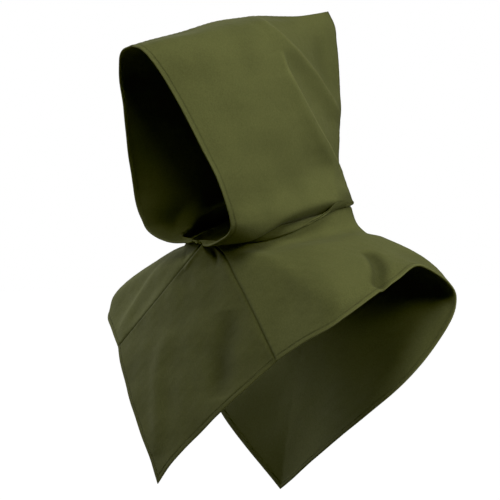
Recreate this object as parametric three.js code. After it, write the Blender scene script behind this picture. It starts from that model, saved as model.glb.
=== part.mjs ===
// A medieval hood with a short shoulder cape, in the shape that it has when it is worn.
// The wearer faces -Y, +X is the wearer's left, and +Z is up. The origin is the crown seat, where the
// cloth rests on the top of the head. Lengths are millimetres.
import * as THREE from "three";

// The cloth
const wall = 1.8;
const hemWidth = 8;
const hemFold = 1.1;
const seamGap = 0.3;

// The face opening, measured from the throat
const openingWidth = 212;
const openingHeight = 276;
const openingLean = 128;

// The hood above the neck seam
const headWidth = 184;
const topLength = 378;
const peakRise = 88;
const neckWidth = 210;
const neckDepth = 250;
const napeRise = 54;
const finReach = 27;
const crownAt = 0.47;

// The cape and the gusset under the throat
const shoulderWidth = 542;
const capeDepth = 268;
const backDrop = 377;
const chestWidth = 374;
const chestDrop = 162;
const chestReach = 21;
const chestBulge = 9;
const collarDrop = 22;
const frontDrop = 345;
const frontReach = 83;

// Points on the middle plane, measured from the throat at height and depth zero
const peak = { back: topLength - openingLean, up: openingHeight + peakRise };
const nape = { back: neckDepth, up: napeRise };

// The edge of the face opening from the throat to the top, as shares of half the opening's width, of its
// lean and of its height
const faceEdgeRows = [
  { along: 0.0, out: 0.0, ahead: 0.0, up: 0.0 },
  { along: 0.05, out: 0.32, ahead: 0.03, up: -0.018 },
  { along: 0.1, out: 0.62, ahead: 0.09, up: -0.022 },
  { along: 0.16, out: 0.87, ahead: 0.17, up: 0.014 },
  { along: 0.25, out: 1.0, ahead: 0.28, up: 0.13 },
  { along: 0.4, out: 0.97, ahead: 0.42, up: 0.31 },
  { along: 0.55, out: 0.8, ahead: 0.59, up: 0.51 },
  { along: 0.7, out: 0.61, ahead: 0.77, up: 0.72 },
  { along: 0.82, out: 0.43, ahead: 0.92, up: 0.88 },
  { along: 0.93, out: 0.2, ahead: 1.01, up: 0.98 },
  { along: 1.0, out: 0.0, ahead: 1.0, up: 1.0 },
];

// The neck seam from the throat to the nape, as shares of half the neck's width, of its depth and of the
// nape's rise
const neckSeamRows = [
  { along: 0.0, out: 0.0, back: 0.0, up: 0.0 },
  { along: 0.12, out: 0.43, back: 0.03, up: -0.04 },
  { along: 0.25, out: 0.78, back: 0.13, up: -0.02 },
  { along: 0.4, out: 0.96, back: 0.29, up: 0.2 },
  { along: 0.55, out: 1.0, back: 0.49, up: 0.54 },
  { along: 0.7, out: 0.97, back: 0.68, up: 0.84 },
  { along: 0.82, out: 0.85, back: 0.86, up: 0.98 },
  { along: 0.92, out: 0.5, back: 0.97, up: 1.02 },
  { along: 1.0, out: 0.0, back: 1.0, up: 1.0 },
];

// The seam over the top from the face opening to the peak, as shares of its length and rise
const topSeamRows = [
  { along: 0.0, back: 0.0, up: 0.0 },
  { along: 0.1, back: 0.09, up: 0.13 },
  { along: 0.23, back: 0.23, up: 0.31 },
  { along: 0.43, back: 0.42, up: 0.58 },
  { along: 0.53, back: 0.53, up: 0.68 },
  { along: 0.63, back: 0.62, up: 0.75 },
  { along: 0.74, back: 0.74, up: 0.8 },
  { along: 0.84, back: 0.84, up: 0.85 },
  { along: 0.92, back: 0.93, up: 0.93 },
  { along: 1.0, back: 1.0, up: 1.0 },
];

// The seam down the back from the nape to the peak, as shares of how far the fin reaches out behind the
// line between the two and of the height between them
const backSeamRows = [
  { along: 0.0, out: 0.0, up: 0.0 },
  { along: 0.08, out: 0.25, up: 0.04 },
  { along: 0.2, out: 0.35, up: 0.12 },
  { along: 0.32, out: 0.62, up: 0.23 },
  { along: 0.5, out: 1.0, up: 0.42 },
  { along: 0.7, out: 0.97, up: 0.64 },
  { along: 0.87, out: 0.74, up: 0.84 },
  { along: 0.96, out: 0.48, up: 0.945 },
  { along: 1.0, out: 0.0, up: 1.0 },
];

// Sections of one half of the hood from the neck to the top. Half-widths are shares of half the head's
// width, at the cheek, at the side and on the fold that runs from the crown to the nape. ridgeAt is the
// fold's place between the face edge and the back seam, and hollow is how far the cloth sinks behind it:
// 0.5 is a round back and over 1 a hollow one.
const cheekAt = 0.18;
const sideAt = 0.38;
const hoodSections = [
  { along: 0.0, cheek: 0.68, side: 1.07, ridgeAt: 0.7, ridge: 1.09, hollow: 0.5 },
  { along: 0.06, cheek: 0.94, side: 1.24, ridgeAt: 0.7, ridge: 1.18, hollow: 0.5 },
  { along: 0.12, cheek: 1.11, side: 1.29, ridgeAt: 0.72, ridge: 1.12, hollow: 0.5 },
  { along: 0.2, cheek: 1.2, side: 1.23, ridgeAt: 0.74, ridge: 0.94, hollow: 0.58 },
  { along: 0.3, cheek: 1.17, side: 1.13, ridgeAt: 0.77, ridge: 0.73, hollow: 0.9 },
  { along: 0.45, cheek: 1.11, side: 1.08, ridgeAt: 0.66, ridge: 0.9, hollow: 1.1 },
  { along: 0.6, cheek: 1.0, side: 1.02, ridgeAt: 0.57, ridge: 0.94, hollow: 1.3 },
  { along: 0.72, cheek: 0.89, side: 0.96, ridgeAt: 0.535, ridge: 0.89, hollow: 1.35 },
  { along: 0.83, cheek: 0.74, side: 0.85, ridgeAt: 0.53, ridge: 0.78, hollow: 1.25 },
  { along: 0.92, cheek: 0.5, side: 0.63, ridgeAt: 0.52, ridge: 0.57, hollow: 1.05 },
  { along: 0.97, cheek: 0.28, side: 0.37, ridgeAt: 0.52, ridge: 0.33, hollow: 1.0 },
  { along: 1.0, cheek: 0.0, side: 0.0, ridgeAt: 0.52, ridge: 0.0, hollow: 1.0 },
];

// The second fold, behind the first: its place between the face edge and the back seam, and its height
const secondFold = { height: 0.07, spread: 0.11 };
const secondFoldRows = [
  { along: 0.52, at: 0.93, strength: 0.0 },
  { along: 0.6, at: 0.88, strength: 1.0 },
  { along: 0.7, at: 0.77, strength: 1.0 },
  { along: 0.8, at: 0.67, strength: 1.0 },
  { along: 0.9, at: 0.59, strength: 0.7 },
  { along: 1.0, at: 0.56, strength: 0.0 },
];

// The cape from the gusset seam round to the middle of the back. Each row starts at a place along the
// neck seam and runs down through an upper and a lower point to the hem. The points are shares of half
// the shoulder width, of the cape's depth behind the throat and of the drop of the back corner.
const capeRows = [
  { along: 0.12, upper: [0.37, 0.05, 0.065], lower: [0.655, 0.04, 0.205], hem: [0.83, -0.026, 0.363] },
  { along: 0.25, upper: [0.535, 0.14, 0.06], lower: [0.9, 0.075, 0.207], hem: [0.945, 0.03, 0.313] },
  { along: 0.4, upper: [0.585, 0.27, 0.022], lower: [0.935, 0.2, 0.165], hem: [1.0, 0.155, 0.25] },
  { along: 0.55, upper: [0.59, 0.475, 0.0], lower: [0.87, 0.485, 0.08], hem: [0.99, 0.475, 0.142] },
  { along: 0.68, upper: [0.56, 0.672, -0.022], lower: [0.785, 0.7, 0.045], hem: [0.98, 0.7, 0.092] },
  { along: 0.78, upper: [0.53, 0.86, -0.014], lower: [0.81, 0.93, 0.083], hem: [1.015, 0.91, 0.21] },
  { along: 0.86, upper: [0.51, 0.93, 0.03], lower: [0.81, 0.91, 0.2], hem: [0.97, 0.83, 0.37] },
  { along: 0.92, upper: [0.42, 0.95, 0.075], lower: [0.63, 0.81, 0.31], hem: [0.8, 0.65, 0.576] },
  { along: 0.96, upper: [0.23, 0.95, 0.12], lower: [0.35, 0.74, 0.42], hem: [0.5, 0.57, 0.748] },
  { along: 1.0, upper: [0.0, 0.95, 0.14], lower: [0.0, 0.71, 0.5], hem: [0.0, 0.562, 1.0] },
];

// How finely the sheets are divided
const steps = { round: 24, up: 24, down: 12, chest: 14 };
const hemLines = 1;
const hemStep = 1.25;
const backwards = 1.4;

// A smooth curve through one column of a table
function columnCurve(rows, value, place = "along") {
  const count = rows.length;
  const slopes = [];
  for (let i = 0; i < count - 1; i++) {
    slopes.push((rows[i + 1][value] - rows[i][value]) / (rows[i + 1][place] - rows[i][place]));
  }
  const tangents = [slopes[0]];
  for (let i = 1; i < count - 1; i++) {
    const share = (rows[i][place] - rows[i - 1][place]) / (rows[i + 1][place] - rows[i - 1][place]);
    tangents.push(slopes[i - 1] * (1 - share) + slopes[i] * share);
  }
  tangents.push(slopes[count - 2]);
  return (at) => {
    let i = 0;
    while (i < count - 2 && at > rows[i + 1][place]) {
      i++;
    }
    const length = rows[i + 1][place] - rows[i][place];
    const t = (at - rows[i][place]) / length;
    const rest = 1 - t;
    const start = rows[i][value] * (1 + 2 * t) * rest * rest + tangents[i] * length * t * rest * rest;
    const end = rows[i + 1][value] * (3 - 2 * t) * t * t - tangents[i + 1] * length * t * t * rest;
    return start + end;
  };
}

function columnCurves(rows, ...values) {
  return Object.fromEntries(values.map((value) => [value, columnCurve(rows, value)]));
}

function mix(a, b, share) {
  return a + (b - a) * share;
}

function smooth(share) {
  const t = Math.min(Math.max(share, 0), 1);
  return t * t * (3 - 2 * t);
}

// The seam curves. Every piece that meets a seam takes it from here.
const faceEdge = columnCurves(faceEdgeRows, "out", "ahead", "up");
const neckSeam = columnCurves(neckSeamRows, "out", "back", "up");
const topSeam = columnCurves(topSeamRows, "back", "up");
const backSeam = columnCurves(backSeamRows, "out", "up");

function faceEdgePoint(along) {
  return new THREE.Vector3(
    (faceEdge.out(along) * openingWidth) / 2,
    -faceEdge.ahead(along) * openingLean,
    faceEdge.up(along) * openingHeight,
  );
}

function neckSeamPoint(along) {
  return new THREE.Vector3(
    (neckSeam.out(along) * neckWidth) / 2,
    neckSeam.back(along) * neckDepth,
    neckSeam.up(along) * napeRise,
  );
}

function topSeamPoint(along) {
  return new THREE.Vector3(
    0,
    topSeam.back(along) * topLength - openingLean,
    openingHeight + topSeam.up(along) * peakRise,
  );
}

function backSeamPoint(along) {
  const up = backSeam.up(along);
  return new THREE.Vector3(
    0,
    mix(nape.back, peak.back, up) + backSeam.out(along) * finReach,
    mix(nape.up, peak.up, up),
  );
}

const chestCorner = new THREE.Vector3(chestWidth / 2, -chestReach, -chestDrop);

function gussetSeamPoint(down) {
  return chestCorner.clone().multiplyScalar(down);
}

// The gusset seam's directions out of the cloth and across the seam towards the shoulder, shared by the
// two sheets that meet there
const seamRun = chestCorner.clone().normalize();
const seamNormal = new THREE.Vector3(0, -1, 0);
seamNormal.addScaledVector(seamRun, -seamNormal.dot(seamRun)).normalize();
const seamAcross = seamNormal.clone().cross(seamRun);

function mirrored(point) {
  return new THREE.Vector3(-point.x, point.y, point.z);
}

// One half of the hood: around runs from the face edge to the back seam, up from the neck to the top
const section = columnCurves(hoodSections, "cheek", "side", "ridgeAt", "ridge", "hollow");
const fold = columnCurves(secondFoldRows, "at", "strength");

// The cloth rolls out over the neck seam before it takes its sections' widths
const neckRoll = { share: 0.09, at: 0.06, blend: 0.22 };

function hoodHalfWidth(around, up) {
  const half = headWidth / 2;
  const ridgeAt = section.ridgeAt(up);
  const ridge = section.ridge(up) * half;
  let width;
  if (around < ridgeAt) {
    const stations = [
      { along: 0, width: faceEdgePoint(up).x },
      { along: cheekAt, width: section.cheek(up) * half },
      { along: sideAt, width: section.side(up) * half },
      { along: ridgeAt, width: ridge },
    ];
    width = columnCurve(stations, "width")(around);
  } else {
    const left = (1 - around) / (1 - ridgeAt);
    width = ridge * Math.pow(left, section.hollow(up));
  }
  if (up > secondFoldRows[0].along) {
    const away = (around - fold.at(up)) / secondFold.spread;
    width += fold.strength(up) * secondFold.height * half * Math.exp(-away * away);
  }
  const rolled = neckSeamPoint(around).x * (1 + neckRoll.share * smooth(up / neckRoll.at));
  return mix(rolled, width, smooth(up / neckRoll.blend));
}

function hoodPoint(around, up) {
  const front = faceEdgePoint(up);
  const back = backSeamPoint(up);
  const low = neckSeamPoint(around);
  const high = topSeamPoint(around);
  const point = new THREE.Vector3();
  for (const axis of ["y", "z"]) {
    const lowLine = mix(neckSeamPoint(0)[axis], neckSeamPoint(1)[axis], around);
    const highLine = mix(topSeamPoint(0)[axis], topSeamPoint(1)[axis], around);
    const sideways = mix(front[axis], back[axis], around);
    point[axis] = sideways + mix(low[axis] - lowLine, high[axis] - highLine, up);
  }
  point.x = hoodHalfWidth(around, up);
  return point;
}

// The cape: round runs along the neck seam from the throat to the middle of the back, down to the hem.
// Each ring of points lies at a share of the way down, and starts on the gusset seam.
const capeRings = { upper: 1 / 3, lower: 2 / 3, hem: 1 };
const capeColumns = {};
for (const [ring, down] of Object.entries(capeRings)) {
  const rows = capeRows.map((row) => ({
    along: row.along,
    out: row[ring][0],
    back: row[ring][1],
    down: row[ring][2],
  }));
  const seam = gussetSeamPoint(down);
  rows.unshift({
    along: 0,
    out: (2 * seam.x) / shoulderWidth,
    back: seam.y / capeDepth,
    down: -seam.z / backDrop,
  });
  capeColumns[ring] = columnCurves(rows, "out", "back", "down");
}

function capeRingPoint(ring, round) {
  const columns = capeColumns[ring];
  return new THREE.Vector3(
    (columns.out(round) * shoulderWidth) / 2,
    columns.back(round) * capeDepth,
    -columns.down(round) * backDrop,
  );
}

// The cloth comes down steeply from the neck seam at the back, like a low collar, before it spreads
const collarAt = 0.1;
const collarReach = 0.12;
const collarLeast = 0.25;

function capePoint(round, down) {
  const neck = neckSeamPoint(round);
  const collar = neck.clone().lerp(capeRingPoint("upper", round), collarReach);
  collar.z -= collarDrop * mix(collarLeast, 1, neckSeam.up(round)) * smooth(round / collarAt);
  const stops = [
    { along: 0, place: neck },
    { along: collarAt, place: collar },
  ];
  for (const [ring, along] of Object.entries(capeRings)) {
    stops.push({ along, place: capeRingPoint(ring, round) });
  }
  const point = new THREE.Vector3();
  for (const axis of ["x", "y", "z"]) {
    const rows = stops.map((stop) => ({ along: stop.along, value: stop.place[axis] }));
    point[axis] = columnCurve(rows, "value")(down);
  }
  return point;
}

// The gusset: near and far run from the throat down its two seams to the side corners. It bulges over
// the chest and is drawn in towards the lower corner.
const frontCorner = new THREE.Vector3(0, -frontReach, -frontDrop);
const tipPinch = { share: 0.3, power: 2.5 };

// Rises from 0 to 1 half way and falls back to 0
function hump(share) {
  return 4 * share * (1 - share);
}

function gussetPoint(near, far) {
  const otherCorner = mirrored(chestCorner);
  const rest = frontCorner.clone().sub(chestCorner).sub(otherCorner);
  const low = near * far;
  const point = gussetSeamPoint(near).addScaledVector(otherCorner, far).addScaledVector(rest, low);
  point.y -= chestBulge * hump(low);
  point.x *= 1 - tipPinch.share * Math.pow(low, tipPinch.power);
  return point;
}

// A closed sheet from a grid of points on its outer face. The inner face lies a wall's thickness in,
// and a fold's thickness more along a turned hem.
function closedSheet(grid, { thickness, settle, normalAt = () => null }) {
  const rows = grid.length;
  const columns = grid[0].length;
  const step = (i, j) => grid[Math.min(Math.max(i, 0), rows - 1)][Math.min(Math.max(j, 0), columns - 1)];
  const outer = [];
  const inner = [];
  for (let i = 0; i < rows; i++) {
    for (let j = 0; j < columns; j++) {
      const across = step(i + 1, j).clone().sub(step(i - 1, j));
      const along = step(i, j + 1).clone().sub(step(i, j - 1));
      const normal = normalAt(i, j) || across.cross(along).normalize();
      const outside = grid[i][j].clone();
      const inside = outside.clone().addScaledVector(normal, -thickness(i, j));
      settle(i, j, outside, inside, normal);
      outer.push(outside);
      inner.push(inside);
    }
  }
  const points = outer.concat(inner);
  const back = outer.length;
  const at = (i, j) => i * columns + j;
  const faces = [];
  const quad = (a, b, c, d) => {
    const straight = points[a].distanceToSquared(points[c]) <= points[b].distanceToSquared(points[d]);
    faces.push(...(straight ? [a, b, c, a, c, d] : [a, b, d, b, c, d]));
  };
  for (let i = 0; i < rows - 1; i++) {
    for (let j = 0; j < columns - 1; j++) {
      const corners = [at(i, j), at(i + 1, j), at(i + 1, j + 1), at(i, j + 1)];
      quad(...corners);
      quad(...corners.map((corner) => corner + back).reverse());
    }
  }
  const rim = [];
  for (let i = 0; i < rows - 1; i++) {
    rim.push([at(i + 1, 0), at(i, 0)], [at(i, columns - 1), at(i + 1, columns - 1)]);
  }
  for (let j = 0; j < columns - 1; j++) {
    rim.push([at(0, j), at(0, j + 1)], [at(rows - 1, j + 1), at(rows - 1, j)]);
  }
  for (const [a, b] of rim) {
    quad(a, b, b + back, a + back);
  }
  const geometry = new THREE.BufferGeometry();
  const numbers = points.flatMap((point) => [point.x, point.y, point.z]);
  geometry.setAttribute("position", new THREE.Float32BufferAttribute(numbers, 3));
  geometry.setIndex(faces);
  geometry.computeVertexNormals();
  return geometry;
}

function even(count) {
  return Array.from({ length: count + 1 }, (_, i) => i / count);
}

// Shares from 0 to 1 down to an edge, with two lines for the turned hem there
function toHem(count, length) {
  const hem = hemWidth / length;
  const edge = 1 - hem * hemStep;
  return even(count).map((share) => share * edge).concat([1 - hem, 1]);
}

// Shares from the face edge or the throat to the back, with two lines for the face edge's turned hem.
// They lie closer together towards the back. The hood and the cape divide the neck seam alike.
function roundShares(length) {
  const hem = hemWidth / length;
  const start = hem * hemStep;
  const rest = even(steps.round).map((share) => 1 - (1 - start) * Math.pow(1 - share, backwards));
  return [0, hem].concat(rest);
}

// Shares from 0 to 1 that lie closer together at both ends
const gathering = 0.5;

function gathered(count) {
  return even(count).map((share) => mix(share, (1 - Math.cos(Math.PI * share)) / 2, gathering));
}

function hoodGrid() {
  const lines = gathered(steps.up).map((up) => {
    const length = hoodPoint(1, up).distanceTo(hoodPoint(0, up));
    return roundShares(length).map((around) => hoodPoint(around, up));
  });
  return lines[0].map((_, i) => lines.map((line) => line[i]));
}

// On the middle plane the sheet's inner face steps in along the plane, as far as the wall's slant needs
// and no further than it does at this share of the normal
const steepest = 0.4;

function hoodHalfGeometry() {
  const grid = hoodGrid();
  const lastRow = grid.length - 1;
  const lastColumn = grid[0].length - 1;
  const thickness = (i) => (i <= hemLines ? wall + hemFold : wall);
  const settle = (i, j, outside, inside, normal) => {
    const onTop = j === lastColumn;
    const onBack = i === lastRow;
    if (onTop || onBack) {
      const flat = Math.hypot(normal.y, normal.z);
      const reach = thickness(i) / Math.max(flat, steepest);
      const previous = onTop ? grid[Math.max(i - 1, 0)][j] : grid[i][Math.max(j - 1, 0)];
      const next = onTop ? grid[Math.min(i + 1, lastRow)][j] : grid[i][Math.min(j + 1, lastColumn)];
      const run = next.clone().sub(previous).normalize();
      const inward = onTop ? new THREE.Vector3(0, run.z, -run.y) : new THREE.Vector3(0, -run.z, run.y);
      inside.copy(outside).addScaledVector(inward, reach);
      outside.x = seamGap / 2;
      inside.x = seamGap / 2;
    }
    if (j === 0) {
      outside.z += seamGap / 2;
      inside.z += seamGap / 2;
    }
    outside.x = Math.max(outside.x, seamGap / 2);
    inside.x = Math.max(inside.x, seamGap / 2);
  };
  return closedSheet(grid, { thickness, settle });
}

function mirrorGeometry(geometry) {
  const twin = geometry.clone().scale(-1, 1, 1);
  const faces = Array.from(geometry.index.array);
  for (let i = 0; i < faces.length; i += 3) {
    [faces[i], faces[i + 1]] = [faces[i + 1], faces[i]];
  }
  twin.setIndex(faces);
  twin.computeVertexNormals();
  return twin;
}

function capeGeometry() {
  const rounds = roundShares(hoodPoint(1, 0).distanceTo(hoodPoint(0, 0)));
  const left = rounds.map((round) => {
    const length = capePoint(round, 1).distanceTo(capePoint(round, 0));
    return toHem(steps.down, length).map((down) => capePoint(round, down));
  });
  const right = left.slice(0, -1).map((line) => line.map(mirrored));
  const grid = right.concat(left.slice().reverse());
  const last = grid.length - 1;
  const lastColumn = grid[0].length - 1;
  const seamSide = (i) => (i === 0 ? mirrored : (direction) => direction.clone());
  const onSeam = (i) => i === 0 || i === last;
  const normalAt = (i) => (onSeam(i) ? seamSide(i)(seamNormal) : null);
  const thickness = (i, j) => (j >= lastColumn - hemLines ? wall + hemFold : wall);
  const settle = (i, j, outside, inside) => {
    for (const point of [outside, inside]) {
      if (j === 0) {
        point.z -= seamGap / 2;
      }
      if (onSeam(i)) {
        point.addScaledVector(seamSide(i)(seamAcross), seamGap / 2);
      }
    }
  };
  return closedSheet(grid, { thickness, normalAt, settle });
}

function gussetGeometry() {
  const places = toHem(steps.chest, chestCorner.length());
  const grid = places.map((far) => places.map((near) => gussetPoint(near, far)));
  const last = grid.length - 1;
  const thickness = (i, j) => (Math.max(i, j) >= last - hemLines ? wall + hemFold : wall);
  const normalAt = (i, j) => {
    if (i > 0 && j > 0) {
      return null;
    }
    if (i === 0 && j === 0) {
      return null;
    }
    return i === 0 ? seamNormal : mirrored(seamNormal);
  };
  const settle = (i, j, outside, inside) => {
    for (const point of [outside, inside]) {
      if (i === 0) {
        point.addScaledVector(seamAcross, -seamGap / 2);
      }
      if (j === 0) {
        point.addScaledVector(mirrored(seamAcross), -seamGap / 2);
      }
    }
  };
  return closedSheet(grid, { thickness, normalAt, settle });
}

// The cloth is a dull olive green wool
const wool = { color: 0x5a5d33, roughness: 0.92, metalness: 0, side: THREE.DoubleSide };

function piece(name, geometry) {
  const mesh = new THREE.Mesh(geometry, new THREE.MeshStandardMaterial(wool));
  mesh.name = name;
  return mesh;
}

const crownSeat = topSeamPoint(crownAt);
crownSeat.z -= wall;

const hood = new THREE.Group();
const leftHalf = hoodHalfGeometry();
hood.add(piece("hood_left", leftHalf));
hood.add(piece("hood_right", mirrorGeometry(leftHalf)));
hood.add(piece("cape", capeGeometry()));
hood.add(piece("front_gusset", gussetGeometry()));
hood.position.copy(crownSeat).negate();

export default hood;
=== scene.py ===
"""A medieval hood with a square front gusset and a pointed shoulder cape, in olive green wool.

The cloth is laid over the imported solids: the curves and tables below are the part's own, in millimetres
from the throat, and each sheet gets finer folds, turned hems, seam grooves, stitches and a woven finish.
The wearer faces -Y, +X is the wearer's left and +Z is up. The origin is the crown seat. Lengths are in
millimetres, apart from those of the camera, lights, floor and materials, which are in metres.
"""

import math

import bpy
import numpy as np
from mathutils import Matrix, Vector


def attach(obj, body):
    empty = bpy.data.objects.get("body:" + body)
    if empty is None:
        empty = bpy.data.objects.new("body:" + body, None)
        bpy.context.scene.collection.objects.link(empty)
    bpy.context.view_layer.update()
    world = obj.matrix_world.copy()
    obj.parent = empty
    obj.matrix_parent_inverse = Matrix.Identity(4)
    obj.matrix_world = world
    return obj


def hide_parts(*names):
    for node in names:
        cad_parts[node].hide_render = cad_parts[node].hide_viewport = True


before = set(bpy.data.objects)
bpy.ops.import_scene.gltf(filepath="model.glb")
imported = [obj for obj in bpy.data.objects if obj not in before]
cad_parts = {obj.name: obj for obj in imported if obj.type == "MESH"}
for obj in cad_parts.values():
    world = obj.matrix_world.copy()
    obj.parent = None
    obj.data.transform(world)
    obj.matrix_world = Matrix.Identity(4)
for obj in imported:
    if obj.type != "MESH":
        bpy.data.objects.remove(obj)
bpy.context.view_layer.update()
scene = bpy.context.scene
MM = 0.001
TINY = 1e-9

# The camera, at the photograph's angle
VIEW_TARGET = Vector((0.0, 0.0425, -0.341))
VIEW_AZIMUTH = math.radians(50)
VIEW_DISTANCE = 2.2
VIEW_WIDTH = 0.75
SENSOR = 36.0

# The cloth, the second layer of a turned hem and the seam allowance behind a seam, which adds a share of
# such a layer. Each layer ends over its step
WALL = 1.8
HEM_WIDTH = 8.0
HEM_FOLD = 1.1
HEM_STEP = 0.9
ALLOWANCE_WIDTH = 10.0
ALLOWANCE_SHARE = 0.7
ALLOWANCE_STEP = 1.1

# The groove of a seam and the low puff beside it, which fade out towards a hem. Where an edge on the middle
# plane turns from it by less than the least share, the inner face goes no deeper
SEAM_DIP = 1.5
SEAM_DIP_WIDTH = 1.8
SEAM_PUFF = 0.1
SEAM_PUFF_AT = 6.0
SEAM_PUFF_WIDTH = 3.0
SEAM_FADE = 6.0
LEAST_TURN = 0.4

# The puckers that sewing draws in the cloth, along the seams and the stitched hems
PUCKER_LENGTH = 11.0
PUCKER_HEIGHT = 0.3
PUCKER_DRIFT = dict(wavelength=60, amount=1.5, seed=3)
PUCKER_SEAM_RISE = 4.0
PUCKER_SEAM_REACH = 7.0
PUCKER_HEM_SHARE = 0.5
PUCKER_HEM_REACH = 3.0

# The neck seam: the hood and the cape share one direction this near to it, and it is drawn in at the nape,
# from a share of its length on
SHARED = 9.0
NAPE_DRAW = 1.5
NAPE_FROM = 0.6
NAPE_BLEND = 0.15
NAPE_REACH = 13.0

# The rows of stitches, at their distance from the hem, and the thread's shape: each stitch is thinner at its
# ends and rises in an arch
STITCH_LINE = 6.8
STITCH_DIP = 0.45
STITCH_DIP_WIDTH = 0.9
STITCH_DIP_INSIDE = 0.7
STITCH_PITCH = 3.2
STITCH_LENGTH = 2.5
STITCH_RADIUS = 0.32
STITCH_SIDES = 6
STITCH_SWELL = (0.35, 0.9, 1, 0.9, 0.35)
STITCH_DRIFT = 0.15
STITCH_LIFT = 0.05
STITCH_ARCH = 0.25
STITCH_SEED = 50

# Folds and waves, and the width of the painted highlight along a fold's ridge. A wave's amount is its
# typical height, and the fine waves fade at the seams and hems
RIDGE_HIGHLIGHT_WIDTH = 3.2
FOLD_FADE = 10.0
WAVE_COUNT = 16
WAVE_SPREAD = (0.75, 1.5)
FINE_WAVES = (dict(wavelength=16, amount=0.1, seed=7), dict(wavelength=5, amount=0.035, seed=9))
FINE_SEAM_FADE = 14.0
FINE_HEM_FADE = 20.0
FINE_AT_HEM = 0.35
SLOW_WAVES = dict(
    hood_left=dict(wavelength=70, amount=0.5, seed=20),
    hood_right=dict(wavelength=70, amount=0.5, seed=21),
    cape=dict(wavelength=80, amount=0.55, seed=30),
    gusset=dict(wavelength=60, amount=0.45, seed=40),
)

# Painted shade in the cloth's folds, seams and stitched lines; wear on its hems, and painted highlight on
# fold ridges
PAINTED_SHADE_DEPTH = 4.0
PAINTED_SHADE_SEAM_WIDTH = 1.8
PAINTED_SHADE_STITCH_SHARE = 0.6
WORN_HEM_WIDTH = 1.6
HIGHLIGHT_AND_WEAR_INSIDE = 0.6

# The fine grids: how many lines they have between those at their edges, and the lengths these share
HOOD_LINES = dict(around=120, up=136)
HOOD_HEIGHT = 318
CAPE_LINES = dict(around=190, down=84)
CAPE_HALF_LENGTH = 300
CAPE_CROWDING = 1.2
GUSSET_LINES = 84
BOW_STEPS = 200
PATH_STEPS = 90
CHUNK = 8192
SHARP_ANGLE = math.radians(50)

# The cape is cut from straight cloth as a fan, with this radius at its neck seam and this angle in radians
FAN_RADIUS = 100
FAN_ANGLE = 4.0

# The face opening, measured from the throat
OPENING_WIDTH = 212.0
OPENING_HEIGHT = 276.0
OPENING_LEAN = 128.0

# The hood above the neck seam
HEAD_WIDTH = 184.0
TOP_LENGTH = 378.0
PEAK_RISE = 88.0
NECK_WIDTH = 210.0
NECK_DEPTH = 250.0
NAPE_RISE = 54.0
FIN_REACH = 27.0
CROWN_AT = 0.47

# The cape and the gusset under the throat
SHOULDER_WIDTH = 542.0
CAPE_DEPTH = 268.0
BACK_DROP = 377.0
CHEST_WIDTH = 374.0
CHEST_DROP = 162.0
CHEST_REACH = 21.0
CHEST_BULGE = 9.0
COLLAR_DROP = 22.0
FRONT_DROP = 345.0
FRONT_REACH = 83.0

# Points on the middle plane: depth behind the throat and height
PEAK = (TOP_LENGTH - OPENING_LEAN, OPENING_HEIGHT + PEAK_RISE)
NAPE = (NECK_DEPTH, NAPE_RISE)


# Tables of the part, each with its named columns
FACE_EDGE = dict(
    along=(0, 0.05, 0.1, 0.16, 0.25, 0.4, 0.55, 0.7, 0.82, 0.93, 1),
    out=(0, 0.32, 0.62, 0.87, 1, 0.97, 0.8, 0.61, 0.43, 0.2, 0),
    ahead=(0, 0.03, 0.09, 0.17, 0.28, 0.42, 0.59, 0.77, 0.92, 1.01, 1),
    up=(0, -0.018, -0.022, 0.014, 0.13, 0.31, 0.51, 0.72, 0.88, 0.98, 1),
)
NECK_SEAM = dict(
    along=(0, 0.12, 0.25, 0.4, 0.55, 0.7, 0.82, 0.92, 1),
    out=(0, 0.43, 0.78, 0.96, 1, 0.97, 0.85, 0.5, 0),
    back=(0, 0.03, 0.13, 0.29, 0.49, 0.68, 0.86, 0.97, 1),
    up=(0, -0.04, -0.02, 0.2, 0.54, 0.84, 0.98, 1.02, 1),
)
TOP_SEAM = dict(
    along=(0, 0.1, 0.23, 0.43, 0.53, 0.63, 0.74, 0.84, 0.92, 1),
    back=(0, 0.09, 0.23, 0.42, 0.53, 0.62, 0.74, 0.84, 0.93, 1),
    up=(0, 0.13, 0.31, 0.58, 0.68, 0.75, 0.8, 0.85, 0.93, 1),
)
BACK_SEAM = dict(
    along=(0, 0.08, 0.2, 0.32, 0.5, 0.7, 0.87, 0.96, 1),
    out=(0, 0.25, 0.35, 0.62, 1, 0.97, 0.74, 0.48, 0),
    up=(0, 0.04, 0.12, 0.23, 0.42, 0.64, 0.84, 0.945, 1),
)
CHEEK_AT = 0.18
SIDE_AT = 0.38
HOOD_SECTIONS = dict(
    along=(0, 0.06, 0.12, 0.2, 0.3, 0.45, 0.6, 0.72, 0.83, 0.92, 0.97, 1),
    cheek=(0.68, 0.94, 1.11, 1.2, 1.17, 1.11, 1, 0.89, 0.74, 0.5, 0.28, 0),
    side=(1.07, 1.24, 1.29, 1.23, 1.13, 1.08, 1.02, 0.96, 0.85, 0.63, 0.37, 0),
    ridge_at=(0.7, 0.7, 0.72, 0.74, 0.77, 0.66, 0.57, 0.535, 0.53, 0.52, 0.52, 0.52),
    ridge=(1.09, 1.18, 1.12, 0.94, 0.73, 0.9, 0.94, 0.89, 0.78, 0.57, 0.33, 0),
    hollow=(0.5, 0.5, 0.5, 0.58, 0.9, 1.1, 1.3, 1.35, 1.25, 1.05, 1, 1),
)
SECOND_FOLD_HEIGHT = 0.07
SECOND_FOLD_SPREAD = 0.11
SECOND_FOLD = dict(
    along=(0.52, 0.6, 0.7, 0.8, 0.9, 1),
    at=(0.93, 0.88, 0.77, 0.67, 0.59, 0.56),
    strength=(0, 1, 1, 1, 0.7, 0),
)
NECK_ROLL_SHARE = 0.09
NECK_ROLL_AT = 0.06
NECK_ROLL_BLEND = 0.22
CAPE_RINGS = dict(upper=1 / 3, lower=2 / 3, hem=1.0)
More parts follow.
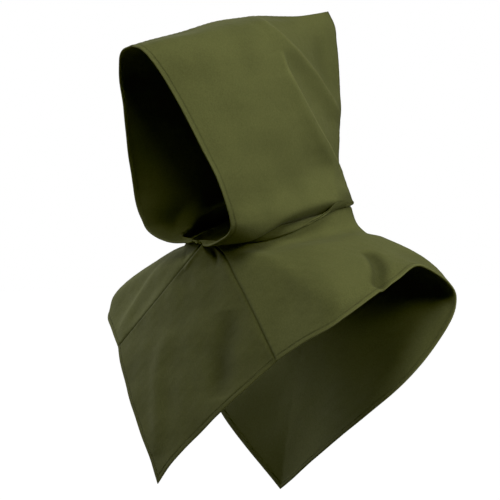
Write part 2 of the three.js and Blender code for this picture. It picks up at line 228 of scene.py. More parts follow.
CAPE_ALONG = (0.12, 0.25, 0.4, 0.55, 0.68, 0.78, 0.86, 0.92, 0.96, 1)
CAPE_COLUMNS = dict(
    upper=dict(
        out=(0.37, 0.535, 0.585, 0.59, 0.56, 0.53, 0.51, 0.42, 0.23, 0),
        back=(0.05, 0.14, 0.27, 0.475, 0.672, 0.86, 0.93, 0.95, 0.95, 0.95),
        down=(0.065, 0.06, 0.022, 0, -0.022, -0.014, 0.03, 0.075, 0.12, 0.14),
    ),
    lower=dict(
        out=(0.655, 0.9, 0.935, 0.87, 0.785, 0.81, 0.81, 0.63, 0.35, 0),
        back=(0.04, 0.075, 0.2, 0.485, 0.7, 0.93, 0.91, 0.81, 0.74, 0.71),
        down=(0.205, 0.207, 0.165, 0.08, 0.045, 0.083, 0.2, 0.31, 0.42, 0.5),
    ),
    hem=dict(
        out=(0.83, 0.945, 1, 0.99, 0.98, 1.015, 0.97, 0.8, 0.5, 0),
        back=(-0.026, 0.03, 0.155, 0.475, 0.7, 0.91, 0.83, 0.65, 0.57, 0.562),
        down=(0.363, 0.313, 0.25, 0.142, 0.092, 0.21, 0.37, 0.576, 0.748, 1),
    ),
)
COLLAR_AT = 0.1
COLLAR_REACH = 0.12
COLLAR_LEAST = 0.25
TIP_PINCH_SHARE = 0.3
TIP_PINCH_POWER = 2.5


def spline(places, values):
    """A smooth curve through values, which may be numbers or arrays, at rising places."""
    x = np.asarray(places, float)
    y = np.asarray(values, float)
    wide = (slice(None),) + (None,) * (y.ndim - 1)
    slopes = np.diff(y, axis=0) / np.diff(x)[wide]
    share = ((x[1:-1] - x[:-2]) / (x[2:] - x[:-2]))[wide]
    inner = slopes[:-1] * (1 - share) + slopes[1:] * share
    tangents = np.concatenate([slopes[:1], inner, slopes[-1:]])

    def at(place):
        place = np.asarray(place, float)
        i = np.clip(np.searchsorted(x, place) - 1, 0, len(x) - 2)
        shape = place.shape + (1,) * (y.ndim - 1)
        length = (x[i + 1] - x[i]).reshape(shape)
        t = ((place - x[i]).reshape(shape)) / length
        rest = 1 - t
        start = y[i] * (1 + 2 * t) * rest**2 + tangents[i] * length * t * rest**2
        end = y[i + 1] * (3 - 2 * t) * t**2 - tangents[i + 1] * length * t**2 * rest
        return start + end

    return at


def curves(table):
    """A smooth curve for each column of a table, over its column along."""
    return {name: spline(table["along"], column) for name, column in table.items() if name != "along"}


def mix(a, b, share):
    return a + (b - a) * share


def smooth(share):
    """Goes gently from 0 to 1 with the share, and stays there beyond."""
    t = np.clip(share, 0, 1)
    return t * t * (3 - 2 * t)


def bell(distance, width):
    """1 at no distance, falling smoothly to nothing over about twice the width."""
    return np.exp(-((distance / width) ** 2))


def unit(vectors):
    """The vectors at length 1."""
    return vectors / np.linalg.norm(vectors, axis=-1, keepdims=True)


def points(x, y, z):
    """Points from arrays or numbers that fit each other."""
    return np.stack(np.broadcast_arrays(x, y, z), axis=-1).astype(float)


face_edge = curves(FACE_EDGE)
neck_seam = curves(NECK_SEAM)
top_seam = curves(TOP_SEAM)
back_seam = curves(BACK_SEAM)
section = curves(HOOD_SECTIONS)
second_fold = curves(SECOND_FOLD)


def face_edge_point(along):
    """The hem of the face opening, from the throat up to the top seam."""
    return points(
        face_edge["out"](along) * OPENING_WIDTH / 2,
        -face_edge["ahead"](along) * OPENING_LEAN,
        face_edge["up"](along) * OPENING_HEIGHT,
    )


def neck_seam_point(along):
    """The seam between hood and cape, from the throat back to the nape."""
    return points(
        neck_seam["out"](along) * NECK_WIDTH / 2,
        neck_seam["back"](along) * NECK_DEPTH,
        neck_seam["up"](along) * NAPE_RISE,
    )


def top_seam_point(along):
    """The seam over the head, from the face opening back to the peak."""
    back = top_seam["back"](along) * TOP_LENGTH - OPENING_LEAN
    return points(0, back, OPENING_HEIGHT + top_seam["up"](along) * PEAK_RISE)


def back_seam_point(along):
    """The seam behind the head, from the nape up to the peak."""
    up = back_seam["up"](along)
    out = back_seam["out"](along) * FIN_REACH
    return points(0, mix(NAPE[0], PEAK[0], up) + out, mix(NAPE[1], PEAK[1], up))


def hood_half_width(around, up):
    """The hood's half-width at arrays of places: around has a row for each up."""
    half = HEAD_WIDTH / 2
    width = np.empty_like(around)
    edge = face_edge_point(up)[:, 0]
    for j, height in enumerate(up):
        ridge_at = float(section["ridge_at"](height))
        ridge = float(section["ridge"](height)) * half
        stations = [0, CHEEK_AT, SIDE_AT, ridge_at]
        widths = [edge[j], section["cheek"](height) * half, section["side"](height) * half, ridge]
        left = np.clip((1 - around[j]) / (1 - ridge_at), 0, 1)
        behind = ridge * left ** float(section["hollow"](height))
        width[j] = np.where(around[j] < ridge_at, spline(stations, widths)(around[j]), behind)
        if height > SECOND_FOLD["along"][0]:
            near = bell(around[j] - second_fold["at"](height), SECOND_FOLD_SPREAD)
            width[j] += second_fold["strength"](height) * SECOND_FOLD_HEIGHT * half * near
    up = up[:, None]
    rolled = neck_seam_point(around)[..., 0] * (1 + NECK_ROLL_SHARE * smooth(up / NECK_ROLL_AT))
    return mix(rolled, width, smooth(up / NECK_ROLL_BLEND))


def hood_surface(around, up):
    """Points of one half of the hood. around runs from the face edge to the back seam, up from the neck."""
    front = face_edge_point(up)[:, None]
    back = back_seam_point(up)[:, None]
    low = neck_seam_point(around)
    high = top_seam_point(around)
    share = around[..., None]
    low_line = mix(neck_seam_point(0), neck_seam_point(1), share)
    high_line = mix(top_seam_point(0), top_seam_point(1), share)
    sideways = mix(front, back, share)
    surface = sideways + mix(low - low_line, high - high_line, up[:, None, None])
    surface[..., 0] = hood_half_width(around, up)
    return surface


CHEST_CORNER = np.array([CHEST_WIDTH / 2, -CHEST_REACH, -CHEST_DROP])
FRONT_CORNER = np.array([0, -FRONT_REACH, -FRONT_DROP])
MIRROR = np.array([-1, 1, 1])

# The near seam of the gusset bows over the cape's left half: along runs down the seam and around is the
# place on the straight cape that it passes over
SEAM_BOW = dict(
    along=(0, 0.067, 0.13, 0.24, 0.32, 0.42, 0.59, 0.77, 0.87, 1),
    around=(0, 0.055, 0.065, 0.045, 0.032, 0.025, 0.017, 0.01, 0.006, 0),
)
SEAM_BOW_REACH = 0.32
SEAM_BOW_POWER = 3


def cape_curves(ring, down):
    """The curves of one ring round the cape, which starts at the gusset's seam."""
    seam = CHEST_CORNER * down
    starts = dict(out=2 * seam[0] / SHOULDER_WIDTH, back=seam[1] / CAPE_DEPTH, down=-seam[2] / BACK_DROP)
    along = (0,) + CAPE_ALONG
    return {name: spline(along, (starts[name],) + CAPE_COLUMNS[ring][name]) for name in starts}


cape_rings = {ring: cape_curves(ring, down) for ring, down in CAPE_RINGS.items()}


def cape_ring_point(ring, around):
    """Points of a ring of the cape's left half, from the gusset's seam to the middle of the back."""
    columns = cape_rings[ring]
    return points(
        columns["out"](around) * SHOULDER_WIDTH / 2,
        columns["back"](around) * CAPE_DEPTH,
        -columns["down"](around) * BACK_DROP,
    )


def cape_surface(around, down):
    """Points of the cape's left half. down has a row for each around, from the neck seam to the hem."""
    neck = neck_seam_point(around)
    collar = mix(neck, cape_ring_point("upper", around), COLLAR_REACH)
    steep = mix(COLLAR_LEAST, 1, neck_seam["up"](around)) * smooth(around / COLLAR_AT)
    collar[:, 2] -= COLLAR_DROP * steep
    places = [0, COLLAR_AT, *CAPE_RINGS.values()]
    stops = np.stack([neck, collar, *(cape_ring_point(ring, around) for ring in CAPE_RINGS)])
    return np.stack([spline(places, stops[:, i])(down[i]) for i in range(len(around))])


def near_seam(shares):
    """Points at shares of the length of the gusset's near seam, which bows over the cape."""
    down = np.linspace(0, 1, BOW_STEPS)
    line = cape_surface(curves(SEAM_BOW)["around"](down), down[:, None])[:, 0]
    run = distances(line, 0)
    return at_places(shares, run / run[-1], line)


def gusset_surface(near, far):
    """Points of the gusset. near and far run from the throat down its two seams to the side corners."""
    other = CHEST_CORNER * MIRROR
    low = (near * far)[..., None]
    surface = CHEST_CORNER * near[..., None] + other * far[..., None]
    surface = surface + (FRONT_CORNER - CHEST_CORNER - other) * low
    low = low[..., 0]
    surface[..., 1] -= CHEST_BULGE * 4 * low * (1 - low)
    surface[..., 0] *= 1 - TIP_PINCH_SHARE * low**TIP_PINCH_POWER
    bow = near_seam(near) - CHEST_CORNER * near[..., None]
    return surface + bow * ((1 - far) ** SEAM_BOW_POWER)[..., None]


# Lines of the fine grids lie close together at the hems and seams, at these distances from the edge
HEM_LINES = (0, 0.25, 0.7, 1.3, 2.2, 3.6, 5, 6, 6.6, 7.2, 7.8, 8.4, 9.2, 10.4, 12.4)
SEAM_LINES = (0, 0.8, 1.7, 2.8, 4.2, 6, 8.2, 10, 11, 12.2)


def spread(length, count, first, last):
    """Shares from 0 to 1 of a length, with fixed distances at its first and last edges."""
    start = np.array(first) / length
    end = 1 - np.array(last)[::-1] / length
    return np.concatenate([start[:-1], np.linspace(start[-1], end[0], count), end[1:]])


def distances(grid, axis):
    """How far each point lies from the first line of the grid, along the cloth."""
    steps = np.linalg.norm(np.diff(grid, axis=axis), axis=-1)
    start = np.zeros_like(np.take(steps, [0], axis=axis))
    return np.concatenate([start, np.cumsum(steps, axis=axis)], axis=axis)


def from_end(distance, axis):
    """The same distances, measured from the last line."""
    return np.take(distance, [-1], axis=axis) - distance


def at_places(places, run, values):
    """The rows of values at places along a run, which is the distance of each row."""
    return np.stack([np.interp(places, run, values[:, axis]) for axis in range(3)], -1)


def normals(grid):
    """Unit normals that point out of the cloth."""
    out = np.cross(np.gradient(grid, axis=0), np.gradient(grid, axis=1))
    return out / np.maximum(np.linalg.norm(out, axis=-1, keepdims=True), TINY)


def ripple(grid, wavelength, amount, seed):
    """Soft random waves in space."""
    rng = np.random.default_rng(seed)
    total = np.zeros(grid.shape[:2])
    for _ in range(WAVE_COUNT):
        way = rng.normal(size=3)
        way *= 2 * math.pi / (np.linalg.norm(way) * wavelength * rng.uniform(*WAVE_SPREAD))
        total += np.sin(grid @ way + rng.uniform(0, 2 * math.pi))
    return total * amount / math.sqrt(WAVE_COUNT / 2)


def crease(grid, path, height, left, right):
    """A fold along a path of points on the sheet, which rises by height, or sinks where that is negative.
    left and right are how far it spreads on each side of the path, seen from outside the cloth."""
    fine = np.linspace(0, 1, PATH_STEPS)
    line = spline(np.linspace(0, 1, len(path)), path)(fine)
    run = unit(np.gradient(line, axis=0))
    flat = grid.reshape(-1, 3)
    out = normals(grid).reshape(-1, 3)
    nearest = np.empty(len(flat), int)
    for start in range(0, len(flat), CHUNK):
        part = slice(start, start + CHUNK)
        nearest[part] = ((flat[part, None] - line[None]) ** 2).sum(-1).argmin(1)
    away = flat - line[nearest]
    side = np.einsum("ij,ij->i", np.cross(run[nearest], out), away)
    beyond = np.einsum("ij,ij->i", run[nearest], away)
    across = np.sqrt(np.maximum((away**2).sum(-1) - beyond**2, 0))
    width = np.where(side > 0, right, left)
    taper = np.clip(np.sin(math.pi * fine[nearest]), 0, 1) ** 0.5
    shape = np.exp(-((across / width) ** 2) - (beyond / left) ** 2)
    return (height * taper * shape).reshape(grid.shape[:2])


def add_object(name, data):
    """Puts a mesh, camera or light in the scene."""
    piece = bpy.data.objects.new(name, data)
    scene.collection.objects.link(piece)
    return piece


def mesh_piece(name, outer, inner, uv, marks, flip):
    """A closed mesh from the outer and inner grids of one sheet."""
    count = outer[..., 0].size
    index = np.arange(count).reshape(outer.shape[:2])
    a, b, c, d = index[:-1, :-1], index[1:, :-1], index[1:, 1:], index[:-1, 1:]
    front = np.stack([a, b, c, d], -1).reshape(-1, 4)
    back = np.stack([a, d, c, b], -1).reshape(-1, 4) + count
    rims = []
    for first, second in (
        (index[1:, 0], index[:-1, 0]),
        (index[:-1, -1], index[1:, -1]),
        (index[0, :-1], index[0, 1:]),
        (index[-1, 1:], index[-1, :-1]),
    ):
        rims.append(np.stack([first, second, second + count, first + count], -1))
    faces = np.concatenate([front, back, *rims])
    if flip:
        faces = faces[:, ::-1]
    verts = np.concatenate([outer.reshape(-1, 3), inner.reshape(-1, 3)]) * MM
    mesh = bpy.data.meshes.new(name)
    mesh.from_pydata(verts.tolist(), [], faces.tolist())
    layer = mesh.uv_layers.new(name="cloth")
    loops = np.empty(len(mesh.loops), int)
    mesh.loops.foreach_get("vertex_index", loops)
    uv = np.concatenate([uv.reshape(-1, 2), uv.reshape(-1, 2)]) * MM
    layer.data.foreach_set("uv", uv[loops].astype(np.float32).ravel())
    for mark, values in marks.items():
        both = np.concatenate([values[0].ravel(), values[1].ravel()]).astype(np.float32)
        mesh.attributes.new(mark, "FLOAT", "POINT").data.foreach_set("value", both)
    mesh.shade_smooth()
    mesh.set_sharp_from_angle(angle=SHARP_ANGLE)
    return add_object(name, mesh)


def neck_normals(around):
    """The direction out of the cloth along the neck seam, half way between the hood's and the cape's."""
    step = 0.02
    seam = neck_seam_point(around)
    above = hood_surface(around[None], np.array([step]))[0] - seam
    below = cape_surface(around, np.full((len(around), 1), step))[:, 0] - seam
    run = np.gradient(seam, axis=0)
    total = np.zeros_like(seam)
    for out in (np.cross(run, above), np.cross(below, run)):
        total += out / np.maximum(np.linalg.norm(out, axis=1, keepdims=True), TINY)
    total[-1, 0] = 0
    return unit(total)


def draw_in_nape(grid, around, neck):
    """Pulls the cloth in along the neck seam at the nape. neck holds the directions out of the cloth."""
    depth = NAPE_DRAW * smooth((around - NAPE_FROM) / NAPE_BLEND)
    near = bell(distances(grid, 1), NAPE_REACH)
    return grid - neck[:, None] * (depth[:, None] * near)[..., None]


crown_seat = top_seam_point(CROWN_AT) - np.array([0, 0, WALL])


def hem_line(surface, hem, axis):
    """Where the stitches run on a surface, at their distance from a hem."""
    surface = np.moveaxis(surface, axis, 0)
    hem = np.moveaxis(hem, axis, 0)
    if hem[0, 0] > hem[-1, 0]:
        surface, hem = surface[::-1], hem[::-1]
    i = (hem < STITCH_LINE).sum(0)
    k = np.arange(hem.shape[1])
    share = (STITCH_LINE - hem[i - 1, k]) / (hem[i, k] - hem[i - 1, k])
    return mix(surface[i - 1, k], surface[i, k], share[:, None])


def stitches(name, rows):
    """Short arched stitches of thread along rows, which are lines of points with the directions out."""
    rng = np.random.default_rng(STITCH_SEED)
    turns = np.linspace(0, 2 * math.pi, STITCH_SIDES, endpoint=False)
    steps = np.linspace(0, 1, len(STITCH_SWELL))
    arch = STITCH_LIFT + STITCH_ARCH * np.sin(math.pi * steps)
    radii = STITCH_RADIUS * np.array(STITCH_SWELL)
    parts = []
    for line, out in rows:
        run = distances(line, 0)
        middle = np.arange(STITCH_PITCH, run[-1] - STITCH_PITCH, STITCH_PITCH)
        middle = middle + rng.uniform(-STITCH_DRIFT, STITCH_DRIFT, len(middle))
        start, end = (at_places(middle + way * STITCH_LENGTH / 2, run, line) for way in (-1, 1))
        up = at_places(middle, run, out)
        side = unit(np.cross(end - start, up))
        spine = start[:, None] + (end - start)[:, None] * steps[:, None]
        spine = spine + up[:, None] * arch[:, None]
        ring = side[:, None] * np.cos(turns)[:, None] + up[:, None] * np.sin(turns)[:, None]
        parts.append(spine[:, :, None] + ring[:, None] * radii[:, None, None])
    verts = np.concatenate(parts)
    index = np.arange(verts[..., 0].size).reshape(verts.shape[:3])
    a, b = index[:, :-1], index[:, 1:]
    sides = np.stack([a, np.roll(a, -1, 2), np.roll(b, -1, 2), b], -1).reshape(-1, 4)
    caps = np.concatenate([index[:, 0, ::-1], index[:, -1]])
    mesh = bpy.data.meshes.new(name)
    mesh.from_pydata((verts.reshape(-1, 3) * MM).tolist(), [], sides.tolist() + caps.tolist())
    mesh.shade_smooth()
    piece = add_object(name, mesh)
    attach(piece, "root")
    return piece


def puckers(grid, hem, seam, run):
    """Small waves along the seams and the stitched hems. run is the distance along them."""
    phase = 2 * math.pi * run / PUCKER_LENGTH + ripple(grid, **PUCKER_DRIFT)
    at_seams = bell(seam, PUCKER_SEAM_REACH) * smooth(seam / PUCKER_SEAM_RISE)
    at_hems = PUCKER_HEM_SHARE * bell(hem - STITCH_LINE, PUCKER_HEM_REACH)
    return PUCKER_HEIGHT * np.sin(phase) * (at_seams + at_hems)


def seam_relief(hem, seam):
    """How far the outer face sinks into the seams, under the stitches and in all, and how deep the inner
    face lies."""
    radius = (WALL + HEM_FOLD) / 2
    rounding = radius - np.sqrt(np.maximum(radius**2 - np.maximum(radius - hem, 0) ** 2, 0))
    groove = SEAM_DIP * bell(seam, SEAM_DIP_WIDTH) - SEAM_PUFF * bell(seam - SEAM_PUFF_AT, SEAM_PUFF_WIDTH)
    groove = groove * smooth(hem / SEAM_FADE)
    stitched = STITCH_DIP * bell(hem - STITCH_LINE, STITCH_DIP_WIDTH) * smooth(seam / SEAM_FADE)
    turned = 1 - smooth((hem - HEM_WIDTH) / HEM_STEP)
    allowance = ALLOWANCE_SHARE * (1 - smooth((seam - ALLOWANCE_WIDTH) / ALLOWANCE_STEP))
    depth = WALL + HEM_FOLD * np.maximum(turned, allowance) - rounding - STITCH_DIP_INSIDE * stitched
    return groove, stitched, rounding + groove + stitched, depth


def close_middle(grid, outer, inner, out, neck, groove, depth, axis):
    """Lays both faces of an edge on the middle plane straight inwards, where it is sewn to the other half.
    axis 0 is the back seam, which takes the neck seam's direction at its lower end, and axis 1 the top."""
    edge = (slice(None), -1) if axis == 1 else (-1, slice(None))
    along = unit(np.gradient(grid[edge], axis=0))
    turn = 1 if axis == 1 else -1
    inward = np.stack([np.zeros(len(along)), turn * along[:, 2], -turn * along[:, 1]], 1)
    if axis == 0:
        inward = unit(mix(-neck[-1], inward, smooth(distances(grid, 1)[-1] / SHARED)[:, None]))
    reach = depth[edge] / np.maximum(np.hypot(out[edge][:, 1], out[edge][:, 2]), LEAST_TURN)
    outer[edge] = grid[edge] + inward * groove[edge][:, None]
    inner[edge] = grid[edge] + inward * reach[:, None]


def dress(name, grid, lift, ridge_highlights, hem, seam, run, uv, hems, neck=None, mirror=False, middle=()):
    """Builds one sheet of cloth. lift is how far its folds rise, ridge_highlights how much painted highlight
    lies along their ridges, hem and seam the distances to the nearest hem and seam, and run the distance
    along the edges. hems holds each hem's own distances and axis, neck the directions out of the cloth at
    the neck seam, and middle the axes of the edges on the middle plane."""
    fine = sum(ripple(grid, **wave) for wave in FINE_WAVES)
    settled = smooth(seam / FINE_SEAM_FADE) * mix(FINE_AT_HEM, 1, smooth(hem / FINE_HEM_FADE))
    rise = lift * smooth(seam / FOLD_FADE) + fine * settled + puckers(grid, hem, seam, run)
    surface = grid + normals(grid) * rise[..., None]
    out = normals(surface)
    if neck is not None:
        out = unit(mix(neck[:, None], out, smooth(distances(grid, 1) / SHARED)[..., None]))
    groove, stitched, inset, depth = seam_relief(hem, seam)
    outer = surface - out * inset[..., None]
    inner = surface - out * depth[..., None]
    for axis in middle:
        close_middle(grid, outer, inner, out, neck, groove, depth, axis)
    if middle:
        outer[..., 0] = np.maximum(outer[..., 0], 0)
        inner[..., 0] = np.maximum(inner[..., 0], 0)
    # Painted shade: the outer face is darker in sunk folds, in the seam grooves and under the stitches
    painted_shade = np.clip(-lift / PAINTED_SHADE_DEPTH, 0, 1) + bell(seam, PAINTED_SHADE_SEAM_WIDTH)
    painted_shade = painted_shade + PAINTED_SHADE_STITCH_SHARE * stitched / STITCH_DIP
    # Lighter on both faces: wear along the hems and painted highlight along the fold ridges
    worn = bell(hem, WORN_HEM_WIDTH) + ridge_highlights
    marks = {"painted_shade": (painted_shade, painted_shade * 0), "worn": (worn, worn * HIGHLIGHT_AND_WEAR_INSIDE)}
    side = MIRROR if mirror else 1
    outer, inner, out = (outer - crown_seat) * side, (inner - crown_seat) * side, out * side
    piece = mesh_piece(name + "_cloth", outer, inner, uv, marks, mirror)
    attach(piece, "root")
    rows = []
    for distance, axis in hems:
        for face, way in ((outer, out), (inner, -out)):
            rows.append((hem_line(face, distance, axis), hem_line(way, distance, axis)))
    return piece, stitches(name + "_stitches", rows)


# Folds of each piece: how far each rises, how far it spreads to the left and right of its path, how much
# painted highlight lies along its ridge and the places along its path. The right half of the hood is made as
# a left one and mirrored, so its left and right change places.
HOOD_FOLDS = [
    dict(
        rise=7,
        left=24,
        right=6,
        worn=1.8,
        path=dict(
            around=(0.93, 0.83, 0.763, 0.657, 0.573, 0.53, 0.523),
            up=(0.24, 0.323, 0.383, 0.497, 0.637, 0.733, 0.81),
        ),
    ),
    dict(
        rise=6,
        left=22,
        right=7,
        worn=1.1,
        path=dict(
            around=(0.95, 0.873, 0.773, 0.66, 0.58, 0.54, 0.58),
            up=(0.54, 0.607, 0.713, 0.797, 0.857, 0.93, 1),
        ),
    ),
    dict(
        rise=-5,
        left=16,
        right=12,
        path=dict(around=(0.7, 0.8, 0.9, 0.98, 1), up=(0.14, 0.125, 0.1, 0.08, 0.07)),
    ),
]
LEFT_FOLDS = [
    dict(
        rise=-9,
        left=10,
        right=8,
        path=dict(
            around=(0.08, 0.2, 0.297, 0.41, 0.553, 0.643, 0.7, 0.76),
            up=(0.05, 0.06, 0.1, 0.14, 0.13, 0.11, 0.08, 0.05),
        ),
    ),
    dict(
        rise=-11,
        left=5,
        right=6,
        path=dict(
            around=(0.2, 0.297, 0.41, 0.553, 0.643, 0.72, 0.82),
            up=(0.06, 0.1, 0.14, 0.13, 0.112, 0.09, 0.07),
        ),
    ),
]
RIGHT_FOLDS = [
    dict(
        rise=-18,
        left=13,
        right=9,
        path=dict(
            around=(0, 0.12, 0.25, 0.33, 0.4, 0.48, 0.6, 0.75),
            up=(0.03, 0.045, 0.06, 0.12, 0.2, 0.23, 0.22, 0.14),
        ),
    ),
]
CAPE_LEFT_FOLDS = [
    dict(
        rise=-8,
        left=13,
        right=10,
        path=dict(around=(0.56, 0.558, 0.53, 0.5, 0.49), down=(0.5, 0.57, 0.68, 0.85, 0.93)),
    ),
    dict(
        rise=4,
        left=14,
        right=14,
        path=dict(around=(0.7, 0.77, 0.83, 0.9), down=(0.2, 0.16, 0.14, 0.12)),
    ),
]
CAPE_RIGHT_FOLDS = [
    dict(
        rise=6,
        left=20,
        right=12,
        path=dict(around=(0.05, 0.08, 0.09, 0.08, 0.07, 0.05), down=(0.2, 0.34, 0.5, 0.65, 0.8, 0.95)),
    ),
]
GUSSET_FOLDS = [
    dict(
        rise=3.5,
        left=18,
        right=16,
        path=dict(near=(0.28, 0.39, 0.58, 0.74, 0.85), far=(0.52, 0.69, 0.78, 0.85, 0.93)),
    ),
    dict(
        rise=-3.5,
        left=24,
        right=22,
        path=dict(near=(0.5, 0.63, 0.777, 0.927), far=(0.13, 0.21, 0.303, 0.387)),
    ),
    dict(
        rise=3,
        left=4,
        right=4,
        path=dict(near=(0.002, 0.006, 0.016, 0.03), far=(0.01, 0.09, 0.16, 0.24)),
    ),
    dict(
        rise=-2.5,
        left=5,
        right=5,
        path=dict(near=(0.03, 0.08, 0.14, 0.22), far=(0.005, 0.012, 0.035, 0.07)),
    ),
]


def folds(grid, surface, table):
    """How far a table's folds lift a grid and how much painted highlight lies along their ridges. surface
    turns a path's columns into points."""
    total = np.zeros(grid.shape[:2])
    ridge_highlights = np.zeros(grid.shape[:2])
    for fold in table:
        line = surface(**{name: np.array(column, float) for name, column in fold["path"].items()})
        total += crease(grid, line, fold["rise"], fold["left"], fold["right"])
        # A fold with a ridge gets a painted highlight along it
        if "worn" in fold:
            ridge_highlights += crease(grid, line, fold["worn"], RIDGE_HIGHLIGHT_WIDTH, RIDGE_HIGHLIGHT_WIDTH)
    return total, ridge_highlights


def hood_places(around, up):
    """Points of the hood at pairs of places."""
    return hood_surface(around[:, None], up)[:, 0]


def cape_places(around, down):
    """Points of the cape's left half at pairs of places."""
    return cape_surface(around, down[:, None])[:, 0]


def mirrored_cape_places(around, down):
    """Points of the cape's right half at pairs of places."""
    return cape_places(around, down) * MIRROR


def hood_half(name, mirror):
    """One half of the hood and its stitches, made as the left one."""
    up = spread(HOOD_HEIGHT, HOOD_LINES["up"], SEAM_LINES, SEAM_LINES)
    ends = np.linalg.norm(back_seam_point(up) - face_edge_point(up), axis=1)
    around = np.stack([spread(length, HOOD_LINES["around"], HEM_LINES, SEAM_LINES) for length in ends])
    grid = hood_surface(around, up).transpose(1, 0, 2)
    neck = neck_normals(around[0])
    grid = draw_in_nape(grid, around[0], neck)
    hem = distances(grid, 0)
    rise = distances(grid, 1)
    back = from_end(hem, 0)
    top = from_end(rise, 1)
    seam = np.minimum(np.minimum(back, top), rise)
    lift, ridge_highlights = folds(grid, hood_places, HOOD_FOLDS + (RIGHT_FOLDS if mirror else LEFT_FOLDS))
    lift += ripple(grid, **SLOW_WAVES[name])
    run = np.where(np.minimum(rise, top) < np.minimum(hem, back), hem, rise)
    uv = np.stack([hem, rise], -1)
    hems = [(hem, 0)]
    return dress(name, grid, lift, ridge_highlights, hem, seam, run, uv, hems, neck, mirror, middle=(0, 1))


def cape():
    """The cape and its stitches, from the far gusset seam round the back to the near one."""
    shares = spread(CAPE_HALF_LENGTH, CAPE_LINES["around"], SEAM_LINES, (0, 1))
    around = 1 - (1 - shares) ** CAPE_CROWDING
    lengths = np.linalg.norm(cape_ring_point("hem", around) - neck_seam_point(around), axis=1)
    down = np.stack([spread(length, CAPE_LINES["down"], SEAM_LINES, HEM_LINES) for length in lengths])
    neck = neck_normals(around)
    half = draw_in_nape(cape_surface(around, down), around, neck)
    shift = curves(SEAM_BOW)["around"](down) * (1 - smooth(around / SEAM_BOW_REACH))[:, None]
    bowed = [spline(around, half[:, i])(around + shift[:, i]) for i in range(down.shape[1])]
    left = np.stack(bowed, axis=1)
    grid = np.concatenate([half[:-1] * MIRROR, left[::-1]])
    rise = distances(grid, 1)
    hem = from_end(rise, 1)
    side = distances(grid, 0)
    seam = np.minimum(rise, np.minimum(side, from_end(side, 0)))
    near_lift, near_highlights = folds(grid, cape_places, CAPE_LEFT_FOLDS)
    far_lift, far_highlights = folds(grid, mirrored_cape_places, CAPE_RIGHT_FOLDS)
    lift = ripple(grid, **SLOW_WAVES["cape"]) + near_lift + far_lift
    run = np.where(np.minimum(rise, hem) < np.minimum(side, from_end(side, 0)), side, rise)
    angle = (side / side[-1:] - 0.5) * FAN_ANGLE
    radius = FAN_RADIUS + rise
    uv = np.stack([radius * np.sin(angle), radius * np.cos(angle)], -1)
    neck = np.concatenate([neck[:-1] * MIRROR, neck[::-1]])
    return dress("cape", grid, lift, near_highlights + far_highlights, hem, seam, run, uv, [(hem, 1)], neck)


def gusset():
    """The gusset and its stitches."""
    length = float(np.linalg.norm(CHEST_CORNER))
    shares = spread(length, GUSSET_LINES, SEAM_LINES, HEM_LINES)
    far, near = np.meshgrid(shares, shares, indexing="ij")
    grid = gusset_surface(near, far)
    first, second = distances(grid, 0), distances(grid, 1)
    hems = [(from_end(first, 0), 0), (from_end(second, 1), 1)]
    hem = np.minimum(hems[0][0], hems[1][0])
    seam = np.minimum(first, second)
    lift, ridge_highlights = folds(grid, gusset_surface, GUSSET_FOLDS)
    lift += ripple(grid, **SLOW_WAVES["gusset"])
    run = np.where(first < second, second, first)
    uv = np.stack([second, first], -1)
    return dress("gusset", grid, lift, ridge_highlights, hem, seam, run, uv, hems)


# The wool's threads, in metres, and its noises, whose scale is in waves to the metre
THREAD_PITCH = 0.0011
THREAD_WOBBLE = 1.6
WOOL_NOISES = dict(
    wobble=dict(scale=160, detail=1),
    melange=dict(scale=420, detail=2),
    clouds=dict(scale=7, detail=3),
    patches=dict(scale=45, detail=3),
    dents=dict(scale=90, detail=3),
)

# How much each layer counts in the wool's tone and in its fine relief
TONE_SHARES = dict(melange=0.5, clouds=0.2, patches=0.12, weave=0.16)
TONE_RANGE = (0.25, 0.75)
RELIEF_SHARES = dict(weave=0.55, melange=0.7)
ROUGHNESS_RANGE = (0.8, 0.98)
# Painted shade in the folds, seams and stitched lines
PAINTED_SHADE_TINT = (0.45, 0.45, 0.4)
PAINTED_SHADE_STRENGTH = 0.75
# Lighter marks: wear on the hems and painted highlight on the fold ridges
HIGHLIGHT_AND_WEAR_TINT = (1.6, 1.57, 1.65)
HIGHLIGHT_AND_WEAR_STRENGTH = 0.5


def new_material(name):
    """A node material, its nodes and links, and its shader."""
    material = bpy.data.materials.new(name)
    material.use_nodes = True
    nodes = material.node_tree.nodes
    return material, nodes, material.node_tree.links, nodes["Principled BSDF"]


